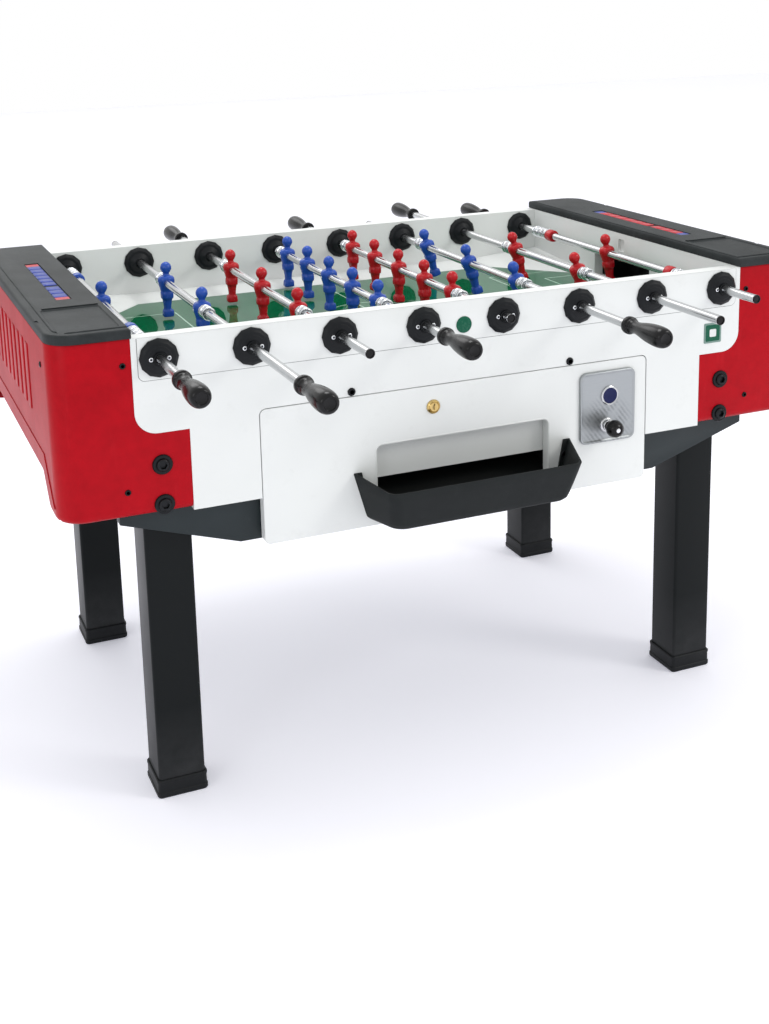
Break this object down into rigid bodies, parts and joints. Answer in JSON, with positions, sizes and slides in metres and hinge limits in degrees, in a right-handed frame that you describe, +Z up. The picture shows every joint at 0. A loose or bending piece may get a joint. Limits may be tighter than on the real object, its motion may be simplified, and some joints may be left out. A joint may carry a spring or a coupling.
{
  "type": "foosball table",
  "caption": "Outdoor coin-operated foosball table: a panelled cabinet on square legs with sliding and turning player rods, a ball drawer with tray, and a coin plate.",
  "frame": {"origin": "on the floor under the centre of the cabinet", "axes": "+X along the table to the coin-plate end, +Y from the drawer side to the back, +Z up"},
  "size_m": [1.388, 1.536, 0.835],
  "materials": {
    "white_laminate": "satin white laminate on board",
    "red_cover": "moulded red plastic, satin gloss",
    "dark_cap": "dark grey moulded plastic with a fine grain",
    "green_glass": "printed glass, glossy",
    "black_board": "black lacquered board",
    "leg_black": "black powder coat, satin",
    "black_plastic": "black moulded plastic",
    "brushed_steel": "brushed",
    "grip_black": "black moulded plastic, satin",
    "lock_brass": "polished brass",
    "rod_chrome": "chromed tube",
    "spring_chrome": "chromed spring wire",
    "player_blue": "moulded blue plastic",
    "player_red": "moulded red plastic",
    "screw_black": "black zinc",
    "screw_steel": "bright zinc",
    "foot_rubber": "black moulded foot",
    "label_print": "printed sticker",
    "cavity_black": "unlit inside board"
  },
  "bodies": {
    "root": {"front_panel": "white_laminate", "rear_panel": "white_laminate", "left_end_board": "white_laminate", "right_end_board": "white_laminate", "left_end_cover": "red_cover", "right_end_cover": "red_cover", "left_top_cap": "dark_cap", "right_top_cap": "dark_cap", "playfield": "green_glass", "lower_housing": "black_board", "leg_front_left": "leg_black", "leg_front_right": "leg_black", "leg_rear_left": "leg_black", "leg_rear_right": "leg_black", "front_bearing_1": "black_plastic", "rear_bearing_1": "black_plastic", "front_bearing_2": "black_plastic", "rear_bearing_2": "black_plastic", "front_bearing_3": "black_plastic", "rear_bearing_3": "black_plastic", "front_bearing_4": "black_plastic", "rear_bearing_4": "black_plastic", "front_bearing_5": "black_plastic", "rear_bearing_5": "black_plastic", "front_bearing_6": "black_plastic", "rear_bearing_6": "black_plastic", "front_bearing_7": "black_plastic", "rear_bearing_7": "black_plastic", "front_bearing_8": "black_plastic", "rear_bearing_8": "black_plastic"},
    "drawer": {"drawer_front": "white_laminate", "drawer_box": "black_board", "ball_tray": "black_plastic", "coin_plate": "brushed_steel"},
    "coin_knob": {"coin_knob": "grip_black"},
    "door_lock": {"door_lock": "lock_brass"},
    "spring_1": {"bumper_spring_1": "spring_chrome"},
    "rod_1": {"rod_1": "rod_chrome", "handle_1": "grip_black"},
    "spring_2": {"bumper_spring_2": "spring_chrome"},
    "rod_2": {"rod_2": "rod_chrome", "handle_2": "grip_black"},
    "spring_3": {"bumper_spring_3": "spring_chrome"},
    "rod_3": {"rod_3": "rod_chrome", "handle_3": "grip_black"},
    "spring_4": {"bumper_spring_4": "spring_chrome"},
    "rod_4": {"rod_4": "rod_chrome", "handle_4": "grip_black"},
    "spring_5": {"bumper_spring_5": "spring_chrome"},
    "rod_5": {"rod_5": "rod_chrome", "handle_5": "grip_black"},
    "spring_6": {"bumper_spring_6": "spring_chrome"},
    "rod_6": {"rod_6": "rod_chrome", "handle_6": "grip_black"},
    "spring_7": {"bumper_spring_7": "spring_chrome"},
    "rod_7": {"rod_7": "rod_chrome", "handle_7": "grip_black"},
    "spring_8": {"bumper_spring_8": "spring_chrome"},
    "rod_8": {"rod_8": "rod_chrome", "handle_8": "grip_black"}
  },
  "joints": [
    {"name": "rod_1_slide", "type": "slide", "parent": "root", "child": "spring_1", "axis": [0, 1, 0], "range_m": [-0.081, 0.031]},
    {"name": "rod_1_spin", "type": "hinge", "parent": "spring_1", "child": "rod_1", "pos_m": [-0.525, 0.025, 0.782], "axis": [0, 1, 0], "range_deg": [-200, 50]},
    {"name": "rod_2_slide", "type": "slide", "parent": "root", "child": "spring_2", "axis": [0, 1, 0], "range_m": [-0.204, 0.17]},
    {"name": "rod_2_spin", "type": "hinge", "parent": "spring_2", "child": "rod_2", "pos_m": [-0.375, 0.017, 0.782], "axis": [0, 1, 0], "continuous": true},
    {"name": "rod_3_slide", "type": "slide", "parent": "root", "child": "spring_3", "axis": [0, 1, 0], "range_m": [-0.116, 0.106]},
    {"name": "rod_3_spin", "type": "hinge", "parent": "spring_3", "child": "rod_3", "pos_m": [-0.225, 0.005, 0.782], "axis": [0, 1, 0], "continuous": true},
    {"name": "rod_4_slide", "type": "slide", "parent": "root", "child": "spring_4", "axis": [0, 1, 0], "range_m": [-0.111, 0.019]},
    {"name": "rod_4_spin", "type": "hinge", "parent": "spring_4", "child": "rod_4", "pos_m": [-0.075, 0.046, 0.782], "axis": [0, 1, 0], "continuous": true},
    {"name": "rod_5_slide", "type": "slide", "parent": "root", "child": "spring_5", "axis": [0, 1, 0], "range_m": [-0.113, 0.017]},
    {"name": "rod_5_spin", "type": "hinge", "parent": "spring_5", "child": "rod_5", "pos_m": [0.075, 0.048, 0.782], "axis": [0, 1, 0], "continuous": true},
    {"name": "rod_6_slide", "type": "slide", "parent": "root", "child": "spring_6", "axis": [0, 1, 0], "range_m": [-0.144, 0.078]},
    {"name": "rod_6_spin", "type": "hinge", "parent": "spring_6", "child": "rod_6", "pos_m": [0.225, 0.033, 0.782], "axis": [0, 1, 0], "continuous": true},
    {"name": "rod_7_slide", "type": "slide", "parent": "root", "child": "spring_7", "axis": [0, 1, 0], "range_m": [-0.17, 0.204]},
    {"name": "rod_7_spin", "type": "hinge", "parent": "spring_7", "child": "rod_7", "pos_m": [0.375, -0.017, 0.782], "axis": [0, 1, 0], "continuous": true},
    {"name": "rod_8_slide", "type": "slide", "parent": "root", "child": "spring_8", "axis": [0, 1, 0], "range_m": [-0.046, 0.066]},
    {"name": "rod_8_spin", "type": "hinge", "parent": "spring_8", "child": "rod_8", "pos_m": [0.525, -0.01, 0.782], "axis": [0, 1, 0], "range_deg": [-42, 208]},
    {"name": "drawer_slide", "type": "slide", "parent": "root", "child": "drawer", "axis": [0, -1, 0], "range_m": [0, 0.2]},
    {"name": "coin_push", "type": "slide", "parent": "drawer", "child": "coin_knob", "axis": [0, 1, 0], "range_m": [0, 0.007], "stiffness_N_per_m": 250, "springref_m": -0.004},
    {"name": "lock_turn", "type": "hinge", "parent": "drawer", "child": "door_lock", "pos_m": [-0.059, -0.405, 0.637], "axis": [0, 1, 0], "range_deg": [0, 90]}
  ]
}
